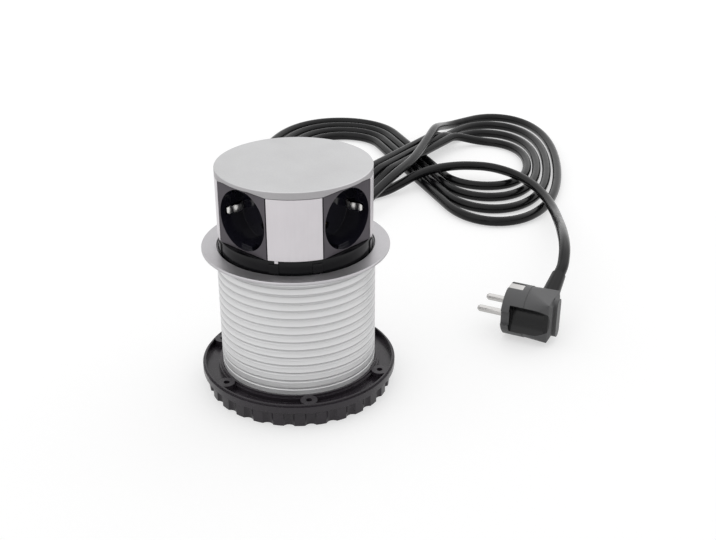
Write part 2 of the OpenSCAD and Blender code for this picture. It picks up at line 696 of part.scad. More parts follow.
// From the strain relief, along the floor and over the pile to its outermost strand
exit_tip = unlaid([nose_end * cos(exit_angle), nose_end * sin(exit_angle), nose_z]);
exit_dir = unlaid([cos(exit_angle), sin(exit_angle), 0]);
lead_points = concat([exit_tip, exit_tip + 2 * cord_d * exit_dir],
    [[1, 119, 4.6], [6, 159, 4.5], [16, 197, 4.6], [29, 229, 6], [44, 255, 11], [61, 283, 17.6],
        [79, 312, 22.6], [95, 344, 23.2], [106, 376, 23.2], [117, 412, 23.2], [125, 442, 21.4],
        [132, 467, 15.4], [140.5, 490, 8.6], [150, 505, 5.2]],
    [pile_start - cord_d * pile_dir(pile_from), pile_start]);

// From the innermost strand, over the right lobe and down in one arc to the plug
plug_at = [67, 141.5];
plug_turn = 16;
relief_tilt = 20;
relief_x = 24.4;
relief_from = 18;
relief_to = relief_from + relief_l;
plug_z = plug_r + 0.1;
relief_axis = [0, cos(relief_tilt), sin(relief_tilt)];
relief_spot = turned([relief_x, 0, plug_z] + relief_to * relief_axis, plug_turn);
relief_tip = unlaid([plug_at.x, plug_at.y, 0] + relief_spot);
relief_dir = unlaid(turned(relief_axis, plug_turn));
tail_points = concat([pile_end, pile_end + cord_d * pile_dir(pile_to)],
    [[72, 313.6, 5.4], [85, 322, 8.8], [98, 330.4, 12.8], [113, 339.6, 15], [130, 347.6, 15.2],
        [150, 351.5, 14.8], [172, 346.5, 14.6], [191, 328, 14.6], [204, 300, 14.8], [210.5, 268, 14.6],
        [211, 236, 16.6], [208, 206, 22], [204.6, 181, 28], [201, 158, 34], [197.8, 137, 38.4],
        [195, 118, 40.6], [192.4, 103, 39.8]],
    [relief_tip + 1.2 * cord_d * relief_dir, relief_tip]);

lead_steps = 2;
module cord_lead() {
    color(black) swept_tube(laid_path(smooth(lead_points, lead_steps)), cord_r, 10);
}
module cord_loops() {
    color(black) swept_tube(laid_path(pile_path), cord_r, 6);
}
module cord_tail() {
    color(black) swept_tube(laid_path(smooth(tail_points, lead_steps)), cord_r, 10);
}

// Least gap of the pile to itself, from each ring to each stretch of the tube that isn't its neighbour
function stretch_gap(p, a, b) = let (u = max(0, min(1, (p - a) * (b - a) / ((b - a) * (b - a)))))
    norm(p - a - u * (b - a));
near_rings = 5;
pile_gap = min([for (i = [0 : len(pile_path) - 1]) for (j = [0 : len(pile_path) - 2])
    if (abs(i - j) > near_rings && abs(i - j - 1) > near_rings)
        stretch_gap(pile_path[i], pile_path[j], pile_path[j + 1])]) - cord_d;
fine_steps = 8;
cord_length = path_length(smooth(lead_points, fine_steps)) + path_length(pile_path)
    + path_length(smooth(tail_points, fine_steps));
echo(pile_gap = pile_gap, cord_length = cord_length);

// Angled plug that lies on the floor, pins along its own -X
module plug_place() {
    translate([plug_at.x, plug_at.y, plug_z]) rotate([0, 0, plug_turn]) children();
}
front_l = 17.5;
front_edge = 0.8;
rear_y = 12.5;
rear_z = 14.5;
scoop_r = 13;
scoop_y = 24;
scoop_from = 6;
spine_w = 9;
spine_t = 2.4;
relief_r = 6.5;
strip_w = 8.4;
strip_t = 1.2;
module plug_body() {
    color(black) plug_place() difference() {
        union() {
            rotate([0, 90, 0]) cylinder(r1 = plug_r - front_edge, r2 = plug_r, h = front_edge);
            translate([front_edge, 0, 0]) rotate([0, 90, 0]) cylinder(r = plug_r, h = front_l - 3);
            hull() {
                translate([front_l - 3, 0, 0]) rotate([0, 90, 0])
                    cylinder(r = plug_r - 0.4, h = 1, $fn = 48);
                translate([plug_l - 3, -rear_y, -rear_z]) cube([1.5, 2 * rear_y, 2 * rear_z]);
                translate([plug_l - 1, 3 - rear_y, 3 - rear_z]) cube([1, 2 * rear_y - 6, 2 * rear_z - 6]);
            }
            translate([plug_l - 1, -spine_w / 2, 0]) rotate([90, 0, 90]) linear_extrude(spine_t + 1) hull() {
                for (z = [spine_w / 2 - rear_z, rear_z - spine_w / 2]) translate([spine_w / 2, z])
                    circle(r = spine_w / 2, $fn = 32);
            }
            rotate([relief_tilt, 0, 0]) translate([relief_x, 0, 0]) rotate([-90, 0, 0])
                cylinder(r = relief_r + 1, h = relief_from);
        }
        translate([scoop_from, -scoop_y, 0]) rotate([0, 90, 0])
            cylinder(r = scoop_r, h = plug_l - 4 - scoop_from);
        translate([scoop_from, scoop_y, 0]) rotate([0, 90, 0])
            cylinder(r = scoop_r, h = relief_x - relief_r - 2 - scoop_from);
        for (side = [-1, 1]) {
            translate([-1, side * plug_r - guide_h - run_gap, -guide_w / 2 - run_gap])
                cube([scoop_from + 2, 2 * (guide_h + run_gap), guide_w + 2 * run_gap]);
            translate([-1, -strip_w / 2 - seat_gap, side * (plug_r - 1) - strip_t])
                cube([12, strip_w + 2 * seat_gap, 2 * strip_t]);
            translate([-1, side * pin_level, 0]) rotate([0, 90, 0]) cylinder(r = pin_r + 0.05, h = 5);
        }
    }
}
module plug_pins() {
    color(steel) plug_place() for (side = [-1, 1]) translate([4, side * pin_level, 0]) rotate([0, -90, 0]) {
        cylinder(r = pin_r, h = pin_l + 2.6);
        translate([0, 0, pin_l + 2.6]) cylinder(r1 = pin_r, r2 = pin_r - 1, h = 1.4);
    }
}
module plug_earth_strips() {
    color(steel) plug_place() for (side = [-1, 1])
        translate([0.4, -strip_w / 2, side * (plug_r - 1.55) - strip_t / 2]) cube([10.4, strip_w, strip_t]);
}
module plug_strain_relief() {
    color(black) plug_place() rotate([relief_tilt, 0, 0]) translate([relief_x, 0, 0]) rotate([-90, 0, 0])
        translate([0, 0, relief_from]) cylinder(r1 = relief_r, r2 = cord_r + 0.9, h = relief_l);
}

ribbed_tube();
trim_flange();
base_cup();
base_screws();
cord_gland();
push_latch();
clamp_ring();
head_base();
top_cap();
head_screws();
trim_front();
trim_right();
trim_back();
trim_left();
socket_front();
socket_right();
socket_back();
socket_left();
clip_front();
clip_right();
clip_back();
clip_left();
contact_post();
neutral_bar();
earth_bar();
live_bar();
core_wires();
latch_striker();
lift_spring();
inner_lead();
cord_lead();
cord_loops();
cord_tail();
plug_body();
plug_pins();
plug_earth_strips();
plug_strain_relief();
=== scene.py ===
"""Pop-up desk socket: the look of the part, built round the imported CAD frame. Metres, +Z up."""
import math

import bmesh
import bpy
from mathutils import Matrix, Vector


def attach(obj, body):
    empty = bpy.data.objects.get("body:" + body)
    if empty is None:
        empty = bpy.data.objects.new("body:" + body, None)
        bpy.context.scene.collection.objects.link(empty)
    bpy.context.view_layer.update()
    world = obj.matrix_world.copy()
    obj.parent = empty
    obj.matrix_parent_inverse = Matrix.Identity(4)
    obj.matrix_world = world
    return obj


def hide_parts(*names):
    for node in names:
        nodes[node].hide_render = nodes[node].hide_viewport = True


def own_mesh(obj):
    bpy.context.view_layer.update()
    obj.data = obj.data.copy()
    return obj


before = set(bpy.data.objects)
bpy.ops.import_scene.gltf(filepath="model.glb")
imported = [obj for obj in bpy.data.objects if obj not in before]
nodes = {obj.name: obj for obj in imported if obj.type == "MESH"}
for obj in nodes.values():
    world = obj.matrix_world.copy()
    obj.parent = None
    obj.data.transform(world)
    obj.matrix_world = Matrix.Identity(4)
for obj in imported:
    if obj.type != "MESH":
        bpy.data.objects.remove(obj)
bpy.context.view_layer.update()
scene = bpy.context.scene
scene.view_settings.view_transform = "Standard"
MM = 0.001

# Sizes shared with the part's source, mm
CORD_TURN = 43
CORD_D = 8.4
CORD_R = CORD_D / 2
CORD_REST = CORD_R + 0.3
CORD_LAYER = CORD_D + 0.8
EXIT_ANGLE = 135
NOSE_END = 66.4
NOSE_Z = 5.4
DECK_Z = 101.4
FLOOR_TOP = 4.5
RIB_FROM = 14
RIB_PITCH = 79.9 / 15
FACE_R = 43.5
CAP_TOP = 148.9


def turned(p, degrees):
    """Point p turned about Z."""
    c, s = math.cos(math.radians(degrees)), math.sin(math.radians(degrees))
    return Vector((p[0] * c - p[1] * s, p[0] * s + p[1] * c, p[2]))


def laid(p):
    """From the cord's own frame, which lines up with the picture, to the part's frame."""
    return turned(p, CORD_TURN)


def heading(degrees):
    """Level unit vector at an angle about Z."""
    return Vector((math.cos(math.radians(degrees)), math.sin(math.radians(degrees)), 0))


# Camera: place in mm in the picture's own frame, turn to the right and tilt down in radians
IMAGE_W, FOCAL_PX = 716, 1052
EYE, EYE_YAW, EYE_PITCH = (28.3, -595.3, 369.4), 0.0172, 0.4566
SENSOR_W = 36


def make_camera():
    """Camera at the photograph's viewing angle, for a frame of 716 by 540."""
    level = math.cos(EYE_PITCH)
    ahead = Vector((math.sin(EYE_YAW) * level, math.cos(EYE_YAW) * level, -math.sin(EYE_PITCH)))
    data = bpy.data.cameras.new("camera")
    data.sensor_width = SENSOR_W
    data.lens = SENSOR_W * FOCAL_PX / IMAGE_W
    data.clip_start, data.clip_end = 0.01, 20
    cam = bpy.data.objects.new("camera", data)
    scene.collection.objects.link(cam)
    cam.location = laid(EYE) * MM
    cam.rotation_euler = laid(ahead).to_track_quat("-Z", "Y").to_euler()
    scene.camera = cam


make_camera()


# Mesh helpers
def add_piece(name, mesh, body):
    """New object that rides on a body."""
    obj = bpy.data.objects.new(name, mesh)
    scene.collection.objects.link(obj)
    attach(obj, body)
    return obj


def tube_mesh(name, path, radius, sides):
    """Closed round tube along a path, its rings carried along without twist."""
    path = [Vector(p) for p in path]
    count = len(path)
    mesh = bpy.data.meshes.new(name)
    bm = bmesh.new()
    rings = []
    up = Vector((0.0, 0.0, 1.0))
    for i, point in enumerate(path):
        ahead = (path[min(i + 1, count - 1)] - path[max(i - 1, 0)]).normalized()
        up = up - up.dot(ahead) * ahead
        up = up.normalized() if up.length > 1e-6 else ahead.orthogonal().normalized()
        across = ahead.cross(up)
        rings.append([bm.verts.new(point + radius * (math.cos(t) * up + math.sin(t) * across))
                      for t in (2 * math.pi * k / sides for k in range(sides))])
    for a, b in zip(rings, rings[1:]):
        for k in range(sides):
            bm.faces.new((a[k], a[(k + 1) % sides], b[(k + 1) % sides], b[k])).smooth = True
    bm.faces.new(list(reversed(rings[0])))
    bm.faces.new(rings[-1])
    bm.normal_update()
    bm.to_mesh(mesh)
    bm.free()
    return mesh


def curve_through(points, steps):
    """Smooth curve through chosen points, with a few steps between neighbours."""
    pts = [Vector(p) for p in points]
    out = []
    for i in range(len(pts) - 1):
        a, b, c, d = pts[max(i - 1, 0)], pts[i], pts[i + 1], pts[min(i + 2, len(pts) - 1)]
        for k in range(steps):
            u = k / steps
            out.append(0.5 * (2 * b + (c - a) * u + (2 * a - 5 * b + 4 * c - d) * u ** 2
                              + (3 * b - a - 3 * c + d) * u ** 3))
    return out + [pts[-1]]


# Mains cord, on the route of its solids
CROSS_AT = (78.5, 397)
PILE_TURN = -8
CROSS_SLOPE = 1.94
STRAND_STEP = 10.5
RIGHT_H, RIGHT_W, RIGHT_FULL = (153, -27.7), (62, -5.6), 0.15
LEFT_H, LEFT_W, LEFT_FULL = (57, 16), (38, 9), 0.2
STRAIGHT_SHARE = 0.16
PILE_FROM, PILE_TO = 0.2, 7.8
HUMP_FLAT, HUMP_RAMP = 54, 38
LOBE_RINGS, ROUTE_STEPS, CORD_SIDES = 96, 8, 20
ANGLE_ROUNDS, SMALL_STEP = 12, 0.002


def hump(q):
    """Share of a layer by which the upper strands rise at distance q from the crossing."""
    if q <= HUMP_FLAT:
        return 1.0
    if q >= HUMP_FLAT + HUMP_RAMP:
        return 0.0
    return (1 + math.cos(math.pi * (q - HUMP_FLAT) / HUMP_RAMP)) / 2


def full_at(g, full):
    """How far a lobe stands out past an oval at angle g."""
    return 1 + full * math.sin(g) ** 2


def lobe_point(v, a, b, full):
    """Point of one lobe: straight from the crossing, round a full oval, and straight back."""
    phi = math.pi / 4
    for _ in range(ANGLE_ROUNDS):
        phi = math.atan(a / (b * CROSS_SLOPE * (full_at(phi, full) - 2 * full * math.cos(phi) ** 2)))
    tip = (a * math.sin(phi) / CROSS_SLOPE, a * math.sin(phi))
    if v < STRAIGHT_SHARE:
        return tip[0] * v / STRAIGHT_SHARE, tip[1] * v / STRAIGHT_SHARE
    if v > 1 - STRAIGHT_SHARE:
        return tip[0] * (1 - v) / STRAIGHT_SHARE, -tip[1] * (1 - v) / STRAIGHT_SHARE
    mid = tip[0] + b * math.cos(phi) * full_at(phi, full)
    g = (math.pi - phi) * (1 - 2 * (v - STRAIGHT_SHARE) / (1 - 2 * STRAIGHT_SHARE))
    return mid + b * math.cos(g) * full_at(g, full), a * math.sin(g)


def pile_point(n):
    """Point of the figure-eight pile after n lobes."""
    lobe = math.floor(n)
    v, turn, right = n - lobe, n / 2, lobe % 2 == 0
    h, w, full = (RIGHT_H, RIGHT_W, RIGHT_FULL) if right else (LEFT_H, LEFT_W, LEFT_FULL)
    x, y = lobe_point(v, h[0] + h[1] * turn, w[0] + w[1] * turn, full)
    upper = v < 0.5 if right else v > 0.5
    rise = CORD_LAYER * hump(math.hypot(x, y)) if upper else 0
    return Vector((*CROSS_AT, CORD_REST + rise)) + turned(
        (STRAND_STEP * turn + (x if right else -x), y, 0), PILE_TURN)


def pile_dir(n):
    """Direction of the pile after n lobes."""
    return (pile_point(n + SMALL_STEP) - pile_point(n - SMALL_STEP)).normalized()


PLUG_AT = (67, 141.5)
PLUG_TURN = 16
PLUG_R = 18.4
PLUG_Z = PLUG_R + 0.1
RELIEF_TILT = 20
RELIEF_X = 24.4
RELIEF_TO = 40
SCOOP_FROM, SCOOP_Y, SCOOP_R = 6, 24, 13


def cord_route():
    """The whole route of the cord, in mm, in its own frame: lead, figure-eight pile and tail."""
    out = heading(EXIT_ANGLE - CORD_TURN)
    exit_tip = NOSE_END * out + Vector((0, 0, NOSE_Z))
    start = pile_point(PILE_FROM) - CORD_D * pile_dir(PILE_FROM)
    end = pile_point(PILE_TO) + CORD_D * pile_dir(PILE_TO)
    lead = [exit_tip, exit_tip + 2 * CORD_D * out,
            (1, 119, 4.6), (6, 159, 4.5), (16, 197, 4.6), (29, 229, 6), (44, 255, 11), (61, 283, 17.6),
            (79, 312, 22.6), (95, 344, 23.2), (106, 376, 23.2), (117, 412, 23.2), (125, 442, 21.4),
            (132, 467, 15.4), (140.5, 490, 8.6), (150, 505, 5.2), start - CORD_D * pile_dir(PILE_FROM), start]
    tilt = math.radians(RELIEF_TILT)
    axis = Vector((0, math.cos(tilt), math.sin(tilt)))
    spot = turned(Vector((RELIEF_X, 0, PLUG_Z)) + RELIEF_TO * axis, PLUG_TURN)
    tip = turned(Vector((*PLUG_AT, 0)) + spot, -CORD_TURN)
    relief_dir = turned(turned(axis, PLUG_TURN), -CORD_TURN)
    tail = [end, end + CORD_D * pile_dir(PILE_TO),
            (72, 313.6, 5.4), (85, 322, 8.8), (98, 330.4, 12.8), (113, 339.6, 15), (130, 347.6, 15.2),
            (150, 351.5, 14.8), (172, 346.5, 14.6), (191, 328, 14.6), (204, 300, 14.8), (210.5, 268, 14.6),
            (211, 236, 16.6), (208, 206, 22), (204.6, 181, 28), (201, 158, 34), (197.8, 137, 38.4),
            (195, 118, 40.6), (192.4, 103, 39.8), tip + 1.2 * CORD_D * relief_dir, tip]
    count = round((PILE_TO - PILE_FROM) * LOBE_RINGS)
    pile = [pile_point(PILE_FROM + i / LOBE_RINGS) for i in range(count + 1)]
    return curve_through(lead, ROUTE_STEPS) + pile + curve_through(tail, ROUTE_STEPS)


def make_cord():
    """One unbroken cord from the strain relief at the foot to the one on the plug."""
    route = [laid(p) * MM for p in cord_route()]
    mesh = tube_mesh("mains_cord", route, CORD_R * MM, CORD_SIDES)
    piece = add_piece("mains_cord", mesh, "housing")
    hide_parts("cord_lead", "cord_loops", "cord_tail")
    return piece


cord = make_cord()


# Materials; a noise value lies mostly between these two
NOISE_LOW, NOISE_HIGH = 0.3, 0.7


def shader(name, color, roughness, metallic=0.0, specular=0.5):
    """New node material; returns it with its node tree and its shader node."""
    mat = bpy.data.materials.new(name)
    mat.use_nodes = True
    tree = mat.node_tree
    bsdf = tree.nodes["Principled BSDF"]
    bsdf.inputs["Base Color"].default_value = (*color, 1)
    bsdf.inputs["Roughness"].default_value = roughness
    bsdf.inputs["Metallic"].default_value = metallic
    bsdf.inputs["Specular IOR Level"].default_value = specular
    return mat, tree, bsdf


def coords(tree, scale=(1, 1, 1)):
    """Object coordinates, scaled."""
    tex = tree.nodes.new("ShaderNodeTexCoord")
    mapping = tree.nodes.new("ShaderNodeMapping")
    mapping.inputs["Scale"].default_value = scale
    tree.links.new(tex.outputs["Object"], mapping.inputs["Vector"])
    return mapping.outputs["Vector"]


def noise(tree, vector, scale, detail, rough=0.55):
    """Noise texture, its value output."""
    node = tree.nodes.new("ShaderNodeTexNoise")
    node.inputs["Scale"].default_value = scale
    node.inputs["Detail"].default_value = detail
    node.inputs["Roughness"].default_value = rough
    tree.links.new(vector, node.inputs["Vector"])
    return node.outputs["Fac"]


def spread(tree, value, low, high, start=NOISE_LOW, end=NOISE_HIGH):
    """Map a value from start..end to low..high."""
    node = tree.nodes.new("ShaderNodeMapRange")
    node.inputs["From Min"].default_value = start
    node.inputs["From Max"].default_value = end
    node.inputs["To Min"].default_value = low
    node.inputs["To Max"].default_value = high
    tree.links.new(value, node.inputs["Value"])
    return node.outputs["Result"]


def two_tone(tree, value, dark, light):
    """Colour between two tones by a value."""
    ramp = tree.nodes.new("ShaderNodeValToRGB")
    for stop, place, tone in zip(ramp.color_ramp.elements, (NOISE_LOW, NOISE_HIGH), (dark, light)):
        stop.position = place
        stop.color = (*tone, 1)
    tree.links.new(value, ramp.inputs["Fac"])
    return ramp.outputs["Color"]


def bump(tree, bsdf, height, strength, distance, edge):
    """Bump from a height, over edges that are softly rounded unless edge is 0."""
    node = tree.nodes.new("ShaderNodeBump")
    node.inputs["Strength"].default_value = strength
    node.inputs["Distance"].default_value = distance
    tree.links.new(height, node.inputs["Height"])
    if edge:
        bevel = tree.nodes.new("ShaderNodeBevel")
        bevel.samples = 4
        bevel.inputs["Radius"].default_value = edge
        tree.links.new(bevel.outputs["Normal"], node.inputs["Normal"])
    tree.links.new(node.outputs["Normal"], bsdf.inputs["Normal"])


def scaled(color, k):
    """A colour made lighter or darker."""
    return tuple(min(1, c * k) for c in color)


def plastic(name, color, roughness, grain, grain_depth, specular=0.5, edge=0.0003):
    """Moulded plastic: fine grain, a little uneven in tone and gloss."""
    mat, tree, bsdf = shader(name, color, roughness, specular=specular)
    at = coords(tree)
    cloud = noise(tree, at, 45, 5)
    tree.links.new(two_tone(tree, cloud, scaled(color, 0.8), scaled(color, 1.2)), bsdf.inputs["Base Color"])
    tree.links.new(spread(tree, noise(tree, at, 110, 4), roughness - 0.05, roughness + 0.06),
                   bsdf.inputs["Roughness"])
    bump(tree, bsdf, noise(tree, at, grain, 2), 0.35, grain_depth, edge)
    return mat


def satin_marks(tree, bsdf, roughness, stretch, scale=900, strength=0.25, depth=0.000012, edge=0.00025):
    """Fine marks of a satin finish, drawn out by a stretch: they vary the roughness and stand proud."""
    marks = noise(tree, coords(tree, stretch), scale, 3, 0.6)
    tree.links.new(spread(tree, marks, roughness - 0.06, roughness + 0.08), bsdf.inputs["Roughness"])
    bump(tree, bsdf, marks, strength, depth, edge)


def satin_metal(name, color, roughness, stretch=(1, 1, 1), depth=0.000012):
    """Satin metal, a little uneven in tone."""
    mat, tree, bsdf = shader(name, color, roughness, metallic=1.0)
    cloud = noise(tree, coords(tree), 30, 4)
    tree.links.new(two_tone(tree, cloud, scaled(color, 0.96), scaled(color, 1.03)), bsdf.inputs["Base Color"])
    satin_marks(tree, bsdf, roughness, stretch, depth=depth)
    return mat


def math_node(tree, operation, first, second=None):
    """A plain operation on one or two values; a value may be a number."""
    node = tree.nodes.new("ShaderNodeMath")
    node.operation = operation
    for place, value in zip(node.inputs, (first, second)):
        if isinstance(value, (int, float)):
            place.default_value = value
        elif value is not None:
            tree.links.new(value, place)
    return node.outputs[0]


def parts_of(tree, vector):
    """X, Y and Z of a vector."""
    split = tree.nodes.new("ShaderNodeSeparateXYZ")
    tree.links.new(vector, split.inputs[0])
    return split.outputs


def cap_metal(name, top, rim_shade, roughness):
    """Cap: satin metal with painted shade on the turned rim round its flat top."""
    mat, tree, bsdf = shader(name, top, roughness, metallic=1.0)
    at = coords(tree)
    height = parts_of(tree, at)[2]
    # Below the flat top the colour turns to painted shade on the rim
    on_top = spread(tree, height, 0.32, 0.66, (CAP_TOP - 0.5) * MM, (CAP_TOP - 0.2) * MM)
    cloud = spread(tree, noise(tree, at, 30, 4), -0.05, 0.05)
    tree.links.new(two_tone(tree, math_node(tree, "ADD", on_top, cloud), rim_shade, top), bsdf.inputs["Base Color"])
    satin_marks(tree, bsdf, roughness, (1, 1, 1))
    return mat


def ribbed_metal(name, land, groove_shade, roughness):
    """Turned tube: satin metal with painted shade in the grooves between its ribs and a painted highlight on
    the land just above each groove.
    """
    mat, tree, bsdf = shader(name, land, roughness, metallic=0.6)
    height = math_node(tree, "SUBTRACT", parts_of(tree, coords(tree))[2], RIB_FROM * MM)
    share = math_node(tree, "FRACT", math_node(tree, "MULTIPLY", height, 1 / (RIB_PITCH * MM)))
    groove_shading = tree.nodes.new("ShaderNodeValToRGB")
    stops = groove_shading.color_ramp.elements
    # The ramp paints shade in each groove, a half tone at its edges and a painted highlight on the land just
    # above it
    edge = tuple((a + b) / 2 for a, b in zip(land, groove_shade))
    stops[0].position, stops[0].color = 0.0, (*edge, 1)
    stops[1].position, stops[1].color = 1.0, (*edge, 1)
    for place, tone in ((0.1, groove_shade), (0.2, groove_shade), (0.42, scaled(land, 1.08)), (0.7, land)):
        stop = stops.new(place)
        stop.color = (*tone, 1)
    tree.links.new(share, groove_shading.inputs["Fac"])
    tree.links.new(groove_shading.outputs["Color"], bsdf.inputs["Base Color"])
    satin_marks(tree, bsdf, roughness, (0.06, 0.06, 1), scale=1100, strength=0.3, edge=0.0004)
    return mat


def socket_plastic(name, face, inside):
    """Socket insert: grained and dull on its flat face, polished down in the recess, where its colour is
    painted shade with a bluish painted reflection.
    """
    mat, tree, bsdf = shader(name, face, 0.5)
    at = coords(tree)
    x, y, _ = parts_of(tree, at)
    reach = math_node(tree, "MAXIMUM", math_node(tree, "ABSOLUTE", x), math_node(tree, "ABSOLUTE", y))
    on_face = spread(tree, reach, 0, 1, (FACE_R - 0.35) * MM, (FACE_R - 0.1) * MM)
    cloud = spread(tree, noise(tree, at, 45, 5), -0.12, 0.12)
    tone = math_node(tree, "ADD", on_face, cloud)
    # The recess takes the second colour, which is painted shade with a bluish painted reflection
    tree.links.new(two_tone(tree, tone, inside, face), bsdf.inputs["Base Color"])
    tree.links.new(spread(tree, on_face, 0.09, 0.55, 0, 1), bsdf.inputs["Roughness"])
    grain = math_node(tree, "MULTIPLY", noise(tree, at, 2600, 2), on_face)
    bump(tree, bsdf, grain, 0.35, 0.00003, 0.0003)
    return mat


def plug_plastic(name, outside, scoop_shade):
    """Plug body: grained and dull outside, smooth in the finger scoops, where its colour is painted shade."""
    mat, tree, bsdf = shader(name, outside, 0.44, specular=0.32)
    tex = tree.nodes.new("ShaderNodeTexCoord")
    local = tree.nodes.new("ShaderNodeMapping")
    local.vector_type = "TEXTURE"
    local.inputs["Location"].default_value = Vector((*PLUG_AT, PLUG_Z)) * MM
    local.inputs["Rotation"].default_value = (0, 0, math.radians(PLUG_TURN))
    tree.links.new(tex.outputs["Object"], local.inputs["Vector"])
    along, aside, up = parts_of(tree, local.outputs["Vector"])
    off = math_node(tree, "SUBTRACT", math_node(tree, "ABSOLUTE", aside), SCOOP_Y * MM)
    squares = [math_node(tree, "POWER", value, 2) for value in (off, up)]
    away = math_node(tree, "SQRT", math_node(tree, "ADD", *squares))
    past = spread(tree, along, 0, 1, (SCOOP_FROM - 0.2) * MM, (SCOOP_FROM + 0.1) * MM)
    within = spread(tree, away, 1, 0, (SCOOP_R + 0.1) * MM, (SCOOP_R + 0.5) * MM)
    # Mask of the finger scoops, where the colour turns to painted shade
    inside = math_node(tree, "MULTIPLY", past, within)
    at = coords(tree)
    tone = math_node(tree, "ADD", inside, spread(tree, noise(tree, at, 60, 5), -0.14, 0.14))
    tree.links.new(two_tone(tree, tone, outside, scoop_shade), bsdf.inputs["Base Color"])
    tree.links.new(spread(tree, inside, 0.44, 0.24, 0, 1), bsdf.inputs["Roughness"])
    bump(tree, bsdf, noise(tree, at, 2200, 2), 0.35, 0.00003, 0.0005)
    return mat


MATERIALS = {
    # The tube's second colour is painted shade in its grooves
    "tube": ribbed_metal("satin_tube", (0.78, 0.78, 0.785), (0.59, 0.59, 0.595), 0.48),
    "flange": satin_metal("satin_flange", (0.51, 0.50, 0.515), 0.44),
    # The cap's second colour is painted shade on its rim
    "cap": cap_metal("satin_cap", (0.575, 0.575, 0.58), (0.38, 0.37, 0.38), 0.42),
    "trim": satin_metal("satin_trim", (0.635, 0.61, 0.632), 0.40, (1, 1, 0.06)),
    "gloss": plastic("gloss_black", (0.005, 0.005, 0.006), 0.2, 900, 0.000006, specular=0.2),
    # The socket's second colour is painted shade with a bluish painted reflection, for its recesses
    "socket": socket_plastic("socket_black", (0.08, 0.07, 0.083), (0.011, 0.0105, 0.017)),
    "inside": plastic("matte_black", (0.03, 0.03, 0.032), 0.48, 2600, 0.00003, specular=0.3),
    "ring": plastic("ring_black", (0.024, 0.0195, 0.025), 0.28, 1900, 0.00002, specular=0.42),
    "cord": plastic("cord_black", (0.004, 0.004, 0.0045), 0.22, 1400, 0.00001, specular=0.22, edge=0),
    # The plug's second colour is painted shade in its finger scoops
    "plug": plug_plastic("plug_black", (0.1, 0.1, 0.102), (0.004, 0.004, 0.0045)),
    "insulator": plastic("insulator", (0.74, 0.72, 0.66), 0.5, 1800, 0.00002),
    "clip": satin_metal("sprung_nickel", (0.8, 0.79, 0.77), 0.34, (1, 1, 0.1), depth=0.000004),
    "nickel": satin_metal("nickel", (0.5, 0.49, 0.48), 0.12, (0.05, 0.05, 0.05), depth=0.000002),
    "steel": satin_metal("zinc_steel", (0.62, 0.62, 0.63), 0.24, depth=0.000008),
    "brass": satin_metal("brass", (0.72, 0.54, 0.25), 0.24, depth=0.000008),
    "core": plastic("core_sleeves", (0.22, 0.27, 0.33), 0.4, 1800, 0.00001),
}
NODE_MATERIALS = {
    "tube": ["ribbed_tube"],
    "flange": ["trim_flange"],
    "cap": ["top_cap"],
    "trim": ["trim_front", "trim_right", "trim_back", "trim_left"],
    "gloss": ["head_base"],
    "socket": ["socket_front", "socket_right", "socket_back", "socket_left"],
    "inside": ["base_cup", "push_latch", "latch_striker"],
    "ring": ["clamp_ring", "cord_gland"],
    "plug": ["plug_body"],
    "cord": ["plug_strain_relief"],
    "insulator": ["contact_post"],
    "nickel": ["plug_pins", "plug_earth_strips"],
    "steel": ["base_screws", "head_screws"],
    "brass": ["neutral_bar", "earth_bar", "live_bar"],
    "core": ["core_wires"],
}


def paint(obj, key):
    """One material on a piece."""
    obj.data.materials.clear()
    obj.data.materials.append(MATERIALS[key])


for key, names in NODE_MATERIALS.items():
    for name in names:
        for place in nodes[name].material_slots:
            place.material = MATERIALS[key]
paint(cord, "cord")


# Lift spring and inner lead, inside the tube
END_GAP = 0.2
SPRING_R, WIRE_D, SPRING_TURNS, TURN_STEPS, WIRE_SIDES = 11.5, 1.8, 9, 32, 12
CLOSED_SHARE, CLOSED_RISE, RISE_EASE = 0.06, 0.02, 0.25
INNER_D, LEAD_R, INNER_TURNS, LEAD_POINTS, LEAD_SIDES = 7, 21, 2, 12, 16
GLAND_FROM, LEAD_LIFT, LEAD_COIL_END, LEAD_BEND_END = 29, 0.6, 8, 3


def follow_head(piece):
    """Gives the piece a mesh of its own."""
    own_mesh(piece)


def make_spring():
    """Round wire spring that starts and ends in a part of a closed turn."""
    seat = (WIRE_D + END_GAP) / 2
    low, high = FLOOR_TOP + seat, DECK_Z - seat
    count = SPRING_TURNS * TURN_STEPS
    path = []
    for i in range(count + 1):
        share = i / count
        t = min(max((share - CLOSED_SHARE) / (1 - 2 * CLOSED_SHARE), 0), 1)
        climb = RISE_EASE * t * t * (3 - 2 * t) + (1 - RISE_EASE) * t
        rise = CLOSED_RISE * share + (1 - CLOSED_RISE) * climb
        around = SPRING_R * heading(360 * i / TURN_STEPS)
        path.append((around + Vector((0, 0, low + (high - low) * rise))) * MM)
    mesh = tube_mesh("lift_spring_wire", path, WIRE_D / 2 * MM, WIRE_SIDES)
    piece = add_piece("lift_spring_wire", mesh, "housing")
    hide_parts("lift_spring")
    paint(piece, "steel")
    follow_head(piece)


